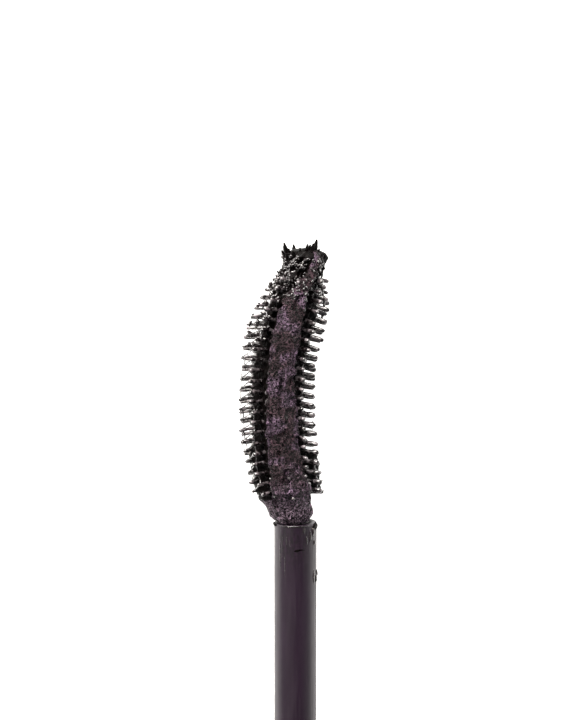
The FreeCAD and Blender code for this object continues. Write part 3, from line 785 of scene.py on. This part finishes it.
def paste_radius(station, angle):
    """Radius of the paste's surface, from the core's centre line."""
    points = noise_space(station, angle)
    drawn = points * np.array([0.42, 1.0, 1.0]) + points[:, [1]] * np.array([0.16, 0, 0])
    coat = np.interp(station, CORE_STATIONS, CORE_RADII)
    left = np.interp(station, LEFT_STATIONS, LEFT_RADII)
    right = np.interp(station, RIGHT_STATIONS, RIGHT_RADII)
    coat = coat + (left - coat) * side_share(angle, LEFT_SIDE)
    hanging = station < CURTAIN_END
    middle = np.where(hanging, CURTAIN_SIDE, RIGHT_SIDE)
    spread = np.where(hanging, CURTAIN_SPREAD, SIDE_SPREAD)
    coat = coat + (right - coat) * side_share(angle, middle, spread)
    body = smooth(2.8, 3.6, station) * (1 - smooth(24.0, 25.5, station))
    near = nearest_bristle(station, angle, coat)
    coat = coat + (0.26 * np.exp(-((near / 0.20) ** 2)) - 0.10) * body
    coat = coat + 0.14 * layered(points, 0.7, 3) + 0.10 * noise(points, 0.3, 5)
    clotted = smooth(18.0, 20.5, station) * smooth(-0.05, 0.35, noise(points, 0.8, 71))
    upper_left = smooth(5, 25, np.degrees(angle)) * (1 - smooth(75, 90, np.degrees(angle)))
    coat = coat + 0.45 * clotted * upper_left * (1 - smooth(25.5, 27.0, station))
    ragged = smooth(24.5, 26.0, station) * (1 - smooth(28.4, 28.6, station))
    coat = coat + 0.42 * ragged * noise(points, 0.55, 83)
    fill = np.interp(station, FRONT_STATIONS, FRONT_RADII)
    fill = fill + 0.12 * noise(points, 2.2, 11) + 0.10 * layered(drawn, 0.62, 13)
    fill = fill + 0.07 * layered(drawn, 0.27, 17, 2)
    fill = fill - 0.26 * smooth(0.32, 0.75, noise(drawn, 0.42, 23))
    tips = nearest_bristle(station, angle, fill)
    fill = fill + 0.09 * np.exp(-((tips / 0.22) ** 2)) * body
    return coat + (np.maximum(fill, coat) - coat) * fill_mask(station, angle)


def tip_shift(station):
    """How far the paste near the tip lies to the bulging side of its own section."""
    return TIP_SHIFT * smooth(22.0, 26.5, station)


def make_paste(black_and_shade, finish):
    """The mascara that clogs the front of the brush, coats its core and gathers at its root."""
    stations = np.linspace(CORE_STATIONS[0], CORE_STATIONS[-1], PASTE_LINES)
    fine = np.arange(20.0, 176.0, 1.5)
    coarse = np.arange(176.0, 380.0, 4.0)
    angles = np.radians(np.concatenate([fine, coarse]))
    grid_station, grid_angle = np.meshgrid(stations, angles, indexing="ij")
    station, angle = grid_station.ravel(), grid_angle.ravel()
    points = brush_place(station, angle, paste_radius(station, angle))
    rim_side = np.maximum(points[:, 0], 0.03 + 0.04 * station)
    points[:, 0] = np.where(station < 2.5, rim_side, points[:, 0])
    points[:, 1] += tip_shift(station)
    bag = Bag()
    bag.skin(points.reshape(*grid_station.shape, 3))
    # Away from the crust the paste takes the near-black finish: painted shade between the bristles.
    wander = 0.25 * noise(noise_space(station, angle), 0.4, 61)
    crust = fill_mask(station, angle) + (1 - smooth(2.6, 3.4, station)) > 0.5 + wander
    crust = np.append(crust, [True, False])
    bag.piece("brush_paste", "wand", "mascara_paste", black_and_shade, finish, choice=crust)


# The points along a strand and along a hair.
STRAND_STEPS = 7
HAIR_STEPS = 5


def core_beside(point, last=25.0):
    """The core's centre beside a point, whose x is taken as the station, up to a last one."""
    return core_point(np.clip(point[0], 0, last))[0][0]


def strand_between(a, b, sag):
    """A line from a to b that dips towards the core."""
    share = np.linspace(0, 1, STRAND_STEPS)[:, None]
    middle = (a + b) / 2
    inward = core_beside(middle, CORE_END) - middle
    inward /= np.linalg.norm(inward)
    return a + (b - a) * share + inward * sag * 4 * share * (1 - share)


# Strands of mascara that join neighbouring tips in a column: column, first and last ring.
TIP_STRANDS = (
    (1, 1, 9),
    (1, 17, 20),
    (5, 0, 3),
    (6, 0, 4),
    (5, 19, 21),
    (6, 18, 19),
    (0, 0, 9),
    (3, 2, 20),
)
# Loops that join the tips of two columns in one ring: the columns, first and last ring.
TIP_LOOPS = ((0, 1, 1, 17), (11, 0, 5, 15))


def make_strands(finish, tips):
    """Thin strands, loops and hairs of mascara at the tips of the bristles."""
    bag = Bag()
    for column, first, last in TIP_STRANDS:
        for ring in range(first, last):
            if (column, ring + 1) not in tips:
                continue
            ends = [tips[column, r] for r in (ring, ring + 1)]
            inward = [end + (core_beside(end) - end) * 0.06 for end in ends]
            line = strand_between(*inward, random.uniform(0.02, 0.18))
            thick = random.uniform(0.13, 0.17) if column in (5, 6) else random.uniform(0.05, 0.09)
            radii = thick * (0.75 + 0.9 * np.abs(np.linspace(-1, 1, STRAND_STEPS)) ** 2)
            bag.tube(line, radii, sides=8, rough=0.03, seed=column * 50 + ring)
    for column, other, first, last in TIP_LOOPS:
        for ring in range(first, last):
            ends = tips[column, ring], tips[other, ring]
            line = strand_between(*ends, random.uniform(-0.10, 0.16))
            radii = np.full(STRAND_STEPS, random.uniform(0.05, 0.08))
            bag.tube(line, radii, sides=6, rough=0.03, seed=ring + 7 * column)
    for tip in tips.values():
        for _ in range(random.integers(0, 3)):
            inward = (core_beside(tip) - tip) / REACH
            start = tip + inward * random.uniform(0.0, 0.6)
            drift = random.normal(0, 0.22, 3) - inward * random.uniform(-0.1, 0.25)
            share = np.linspace(0, 1, HAIR_STEPS)[:, None]
            line = start + drift * share ** np.array([1.0, 1.3, 0.8])
            radii = np.linspace(0.065, 0.03, HAIR_STEPS)
            bag.tube(line, radii, sides=6, rough=0.02, seed=int(tip[0] * 999))
    bag.piece("brush_strands", "wand", "mascara_paste", finish)


def add_bead(bag, place, size):
    """An uneven drop of paste."""
    line = place + np.array([[-0.5], [0.0], [0.5]]) * size * random.normal(0, 1, 3)
    bag.tube(line, np.array([0.7, 1.0, 0.7]) * size, 8, 0.10, int(1000 * size), grain=0.2)


# Drops on the paste at the tip and where they lie, and drops along its edge near the root, whose
# angles are in degrees.
TIP_DROPS = 330
TIP_DROP_STATIONS = (23.8, 27.9)
ROOT_DROP_RINGS = 10
DROPS_PER_RING = 3
ROOT_DROP_ANGLES = (57, 68)


def beside_bristle(column, ring, tip, share, drift, size):
    """A place along a bristle and beside it, near enough for a drop of this size to touch it."""
    station, angle = ring_station(column, ring), column_angle(column)
    root = brush_place(station, angle, BRISTLE_ROOT)[0]
    moved = brush_place(station + drift, angle + drift * 0.25, BRISTLE_ROOT)[0] - root
    nearest = (0.14 + 0.6 * size) / max(np.linalg.norm(moved), 0.001)
    return root + (tip - root) * share + moved * min(1.0, nearest)


def make_beads(finish, tips):
    """Drops of mascara that hang on the bristles and glint where the brush is half clogged."""
    bag = Bag()
    for column in range(COLUMNS):
        for ring in range(RINGS):
            station = ring_station(column, ring)
            if station > CORE_END:
                continue
            angle = column_angle(column)
            clotted = station > 18 and column in (0, 1, 2)
            if fill_mask(*spot(station, angle)) < 0.1:
                for turn in range(6 if clotted else 2):
                    outer = clotted or turn
                    share = random.uniform(0.62, 1.0) if outer else random.uniform(0.43, 0.57)
                    drift = random.normal(0, 0.25 if clotted else 0.02)
                    size = random.uniform(0.08, 0.23 if clotted else 0.16)
                    place = beside_bristle(column, ring, tips[column, ring], share, drift, size)
                    add_bead(bag, place, size)
    for _ in range(TIP_DROPS):
        station = random.uniform(*TIP_DROP_STATIONS)
        angle = random.normal(math.radians(45), math.radians(45))
        place = brush_place(*spot(station, angle), paste_radius(*spot(station, angle)))[0]
        place = place + np.array([0, tip_shift(station), 0])
        add_bead(bag, place, random.uniform(0.06, 0.16))
    for ring in range(ROOT_DROP_RINGS):
        for _ in range(DROPS_PER_RING):
            station = ring_station(1, ring) + random.normal(0, 0.18)
            angle = math.radians(random.uniform(*ROOT_DROP_ANGLES))
            place = brush_place(*spot(station, angle), paste_radius(*spot(station, angle)))[0]
            add_bead(bag, place, random.uniform(0.07, 0.15))
    bag.piece("brush_beads", "wand", "mascara_paste", finish)


# ---------------------------------------------------------------- smears


DAB_ROWS = 12
DAB_SIDES = 14


def dab(bag, along, angle, length, width, height, radius, seed):
    """A flat dab of paste on the stem, lens-shaped, at a place from its end face."""
    rows = []
    turn = np.linspace(0, 2 * math.pi, DAB_SIDES, endpoint=False)
    for share in np.linspace(0.04, 0.96, DAB_ROWS):
        bulge = math.sin(math.pi * share)
        wide = np.cos(turn) * width / 2 * bulge
        high = np.sin(turn) * height * bulge
        x = np.full(DAB_SIDES, along - length / 2 + length * share)
        lumps = layered(np.stack([x, wide * 3, high * 3], axis=1), 0.3, seed, 2)
        reach = radius + high * (1 + 0.5 * lumps)
        spin = angle + wide * (1 + 0.4 * lumps) / radius
        rows.append(np.stack([x, np.cos(spin) * reach, np.sin(spin) * reach], axis=1))
    bag.skin(rows)


# Dabs of mascara on the stem: distance from its end, angle in degrees, length, width, height.
# The first ones are black and dull. The first two of them make a thin dark line: painted shade for a
# dent.
DULL_DABS = 4
STEM_DABS = (
    (-2.5, 100.0, 0.18, 1.0, 0.020),
    (-2.6, 92.0, 0.15, 0.5, 0.015),
    (-0.15, 12.0, 0.5, 1.3, 0.16),
    (-0.3, 160.0, 0.9, 1.3, 0.16),
    (-0.10, 88.0, 0.17, 3.4, 0.06),
    (-5.5, 150.0, 1.8, 0.35, 0.10),
    (-5.7, 163.0, 1.1, 0.4, 0.15),
    (-5.2, 170.0, 0.9, 0.4, 0.17),
    (-1.2, 134.0, 1.3, 0.24, 0.14),
    (-1.6, 122.0, 1.0, 0.20, 0.11),
    (-0.8, 146.0, 1.2, 0.28, 0.16),
    (-1.9, 152.0, 0.7, 0.3, 0.15),
    (-0.5, 114.0, 0.8, 0.3, 0.05),
    (-1.9, 75.0, 0.8, 0.10, 0.04),
    (-1.5, 66.0, 1.5, 0.08, 0.03),
    (-3.1, 44.0, 3.4, 0.10, 0.03),
    (-2.4, 52.0, 2.6, 0.08, 0.03),
    (-4.3, 60.0, 2.0, 0.09, 0.025),
    (-3.8, 215.0, 1.6, 0.6, 0.06),
    (-1.0, 262.0, 1.9, 1.1, 0.06),
    (-2.2, 330.0, 1.2, 0.5, 0.05),
)


def make_stem_smears(finish, dull):
    """Dabs of mascara on the stem, wet ones and a few dull ones; two dull ones are painted shade for a
    dent.
    """
    bag = Bag()
    wet_from = 0
    for seed, (along, degrees, length, width, height) in enumerate(STEM_DABS):
        dab(bag, along, math.radians(degrees), length, width, height, STEM_RADIUS, seed + 5)
        if seed < DULL_DABS:
            wet_from = bag.count
    choice = np.arange(bag.count) < wet_from
    bag.piece("stem_smears", "wand", "mascara_paste", finish, dull, choice=choice)


# The wiper, in millimetres: its funnel narrows from the bore to the orifice.
FUNNEL_START = 8.0
FUNNEL_END = 12.4
FUNNEL_RADIUS = 5.0
ORIFICE_RADIUS = 2.28
RESIDUE_FROM = 9.5
RESIDUE_THICKNESS = 0.2
RESIDUE_SIDES = 72
RESIDUE_ROWS = 28


def make_wiper_residue(finish):
    """A ring of paste left on the funnel's slope, round the wiper's orifice."""
    mouth = (MOUTH - STEM_END) / MM
    turn = np.linspace(0, 2 * math.pi, RESIDUE_SIDES, endpoint=False)
    edge = layered(np.stack([np.cos(turn), np.sin(turn), turn * 0], axis=1) * 3, 1.3, 91)
    start = RESIDUE_FROM + 0.5 * edge
    rows = []
    for cycle in np.linspace(0, 2 * math.pi, RESIDUE_ROWS, endpoint=False):
        share = (1 - math.cos(cycle)) / 2
        depth = start + (FUNNEL_END - 0.15 - start) * share
        rise = FUNNEL_RADIUS - ORIFICE_RADIUS
        slope = rise * (FUNNEL_END - depth) / (FUNNEL_END - FUNNEL_START)
        thick = max(math.sin(cycle), 0) * RESIDUE_THICKNESS * (1 + 0.6 * edge)
        radius = ORIFICE_RADIUS + slope + 0.03 - thick * smooth(0, 0.6, slope)
        across, up = np.cos(turn) * radius, np.sin(turn) * radius
        rows.append(np.stack([mouth + depth, across, up], axis=1))
    bag = Bag()
    bag.skin(np.array(rows + rows[:1]), closed_ends=False)
    bag.piece("wiper_residue", "tube", "mascara_paste", finish)


# ---------------------------------------------------------------- stage, light and camera


# The floor: half its width in metres, and how strongly it glows.
FLOOR_REACH = 4.0
FLOOR_GLOW = 0.8


def make_floor():
    """A wide floor, white as seen and with only a soft shadow where something touches it."""
    made = Finish("floor_white", Roughness=0.9, Specular_IOR_Level=0.1)
    tone = made.noise(60.0, 2.0, 0.5)
    made.set("Base Color", made.colours(tone, (0.3, FLOOR_DARK), (0.7, FLOOR_LIGHT)))
    made.shader.inputs["Emission Color"].default_value = (1.0, 1.0, 1.0, 1.0)
    made.shader.inputs["Emission Strength"].default_value = FLOOR_GLOW
    mesh = bpy.data.meshes.new("floor")
    corners = [(x * FLOOR_REACH, y * FLOOR_REACH, 0) for x, y in ((-1, -1), (1, -1), (1, 1), (-1, 1))]
    mesh.from_pydata(corners, [], [(0, 1, 2, 3)])
    mesh.materials.append(made.material)
    floor = bpy.data.objects.new("floor", mesh)
    bpy.context.scene.collection.objects.link(floor)


# How bright the tent is from side to side: the direction's y, and the level.
TENT = (
    (-1.0, 0.70),
    (-0.73, 0.34),
    (-0.37, 0.12),
    (0.0, 0.18),
    (0.36, 0.48),
    (0.69, 0.50),
    (1.0, 0.56),
)


def make_world():
    """A light tent: dimmest a little to the inner side of overhead, brighter low at both sides."""
    world = bpy.data.worlds.new("tent")
    bpy.context.scene.world = world
    world.use_nodes = True
    tree = world.node_tree
    background = tree.nodes["Background"]
    coordinates = tree.nodes.new("ShaderNodeTexCoord")
    parts = tree.nodes.new("ShaderNodeSeparateXYZ")
    spread = tree.nodes.new("ShaderNodeMapRange")
    spread.inputs["From Min"].default_value = -1.0
    ramp = tree.nodes.new("ShaderNodeValToRGB")
    elements = ramp.color_ramp.elements
    while len(elements) < len(TENT):
        elements.new(0.5)
    for element, (side, level) in zip(elements, TENT):
        element.position = (side + 1) / 2
        element.color = (level, level, level, 1.0)
    tree.links.new(coordinates.outputs["Generated"], parts.inputs["Vector"])
    tree.links.new(parts.outputs["Y"], spread.inputs["Value"])
    tree.links.new(spread.outputs["Result"], ramp.inputs["Fac"])
    tree.links.new(ramp.outputs["Color"], background.inputs["Color"])
    background.inputs["Strength"].default_value = 1.0


# The lamps: place from the view's centre and size in metres, power in watts, colour.
LAMPS = (
    ("key", (0.64, 0.14, 0.30), 0.52, 26.0, (1.0, 0.965, 0.92)),
    ("spark", (0.12, 0.22, 0.28), 0.04, 0.4, (1.0, 0.88, 0.72)),
)


def add_softbox(name, place, target, size, power, colour):
    """A square area light that faces its target."""
    light = bpy.data.lights.new(name, "AREA")
    light.size = size
    light.energy = power
    light.color = colour
    lamp = bpy.data.objects.new(name, light)
    lamp.location = place
    lamp.rotation_euler = (Vector(target) - Vector(place)).to_track_quat("-Z", "Y").to_euler()
    bpy.context.scene.collection.objects.link(lamp)


# The camera, in metres: what the sensor's width spans, its aim, its distance, its tilt.
VIEW_HEIGHT = 0.072
VIEW_CENTRE = Vector((STEM_END + 0.0165, 0.00105, AXIS_Z))
VIEW_DISTANCE = 0.30
VIEW_TILT = math.radians(9.0)


def make_camera():
    """Looks down on the brush, the stem running out at the bottom of the picture."""
    data = bpy.data.cameras.new("camera")
    data.lens = data.sensor_width * VIEW_DISTANCE / VIEW_HEIGHT
    data.clip_start = 0.01
    camera = bpy.data.objects.new("camera", data)
    up = Vector((math.cos(VIEW_TILT), 0, -math.sin(VIEW_TILT)))
    back = Vector((math.sin(VIEW_TILT), 0, math.cos(VIEW_TILT)))
    turned = Matrix((up.cross(back), up, back)).transposed().to_4x4()
    camera.matrix_world = Matrix.Translation(VIEW_CENTRE + back * VIEW_DISTANCE) @ turned
    bpy.context.scene.collection.objects.link(camera)
    bpy.context.scene.camera = camera


def make_light():
    """The lamps, and plain colours with no film look."""
    for name, offset, size, power, colour in LAMPS:
        add_softbox(name, VIEW_CENTRE + Vector(offset), VIEW_CENTRE, size, power, colour)
    view = bpy.context.scene.view_settings
    view.view_transform = "Standard"
    view.look = "None"


# ---------------------------------------------------------------- everything together


def dress(finish, *nodes):
    """Gives CAD nodes a material."""
    for node in nodes:
        materials = NODES[node].data.materials
        if not materials:
            materials.append(finish)
        for i in range(len(materials)):
            materials[i] = finish


def main():
    shell = shell_finish()
    metal = metal_finish()
    paste = paste_finish()
    dress(shell, "outer_cap", "bottle_sleeve", "base_disc")
    dress(metal, "cap_end_disc", "collar_ring")
    dress(steel_finish(), "cap_weight")
    dress(liner_finish(), "inner_cap")
    dress(stem_finish(), "stem")
    dress(washer_finish(), "seal_washer")
    dress(bottle_finish(), "bottle")
    dress(wiper_finish(), "wiper")
    dress(paste, "mascara_fill")
    tips = make_bristles(bristle_finish())
    black_and_shade = black_and_shade_finish()
    make_paste(black_and_shade, paste)
    make_crown(black_and_shade)
    wet = bead_finish()
    make_strands(wet, tips)
    make_beads(wet, tips)
    make_stem_smears(wet, black_and_shade)
    make_wiper_residue(paste)
    make_floor()
    make_world()
    make_light()
    make_camera()


main()
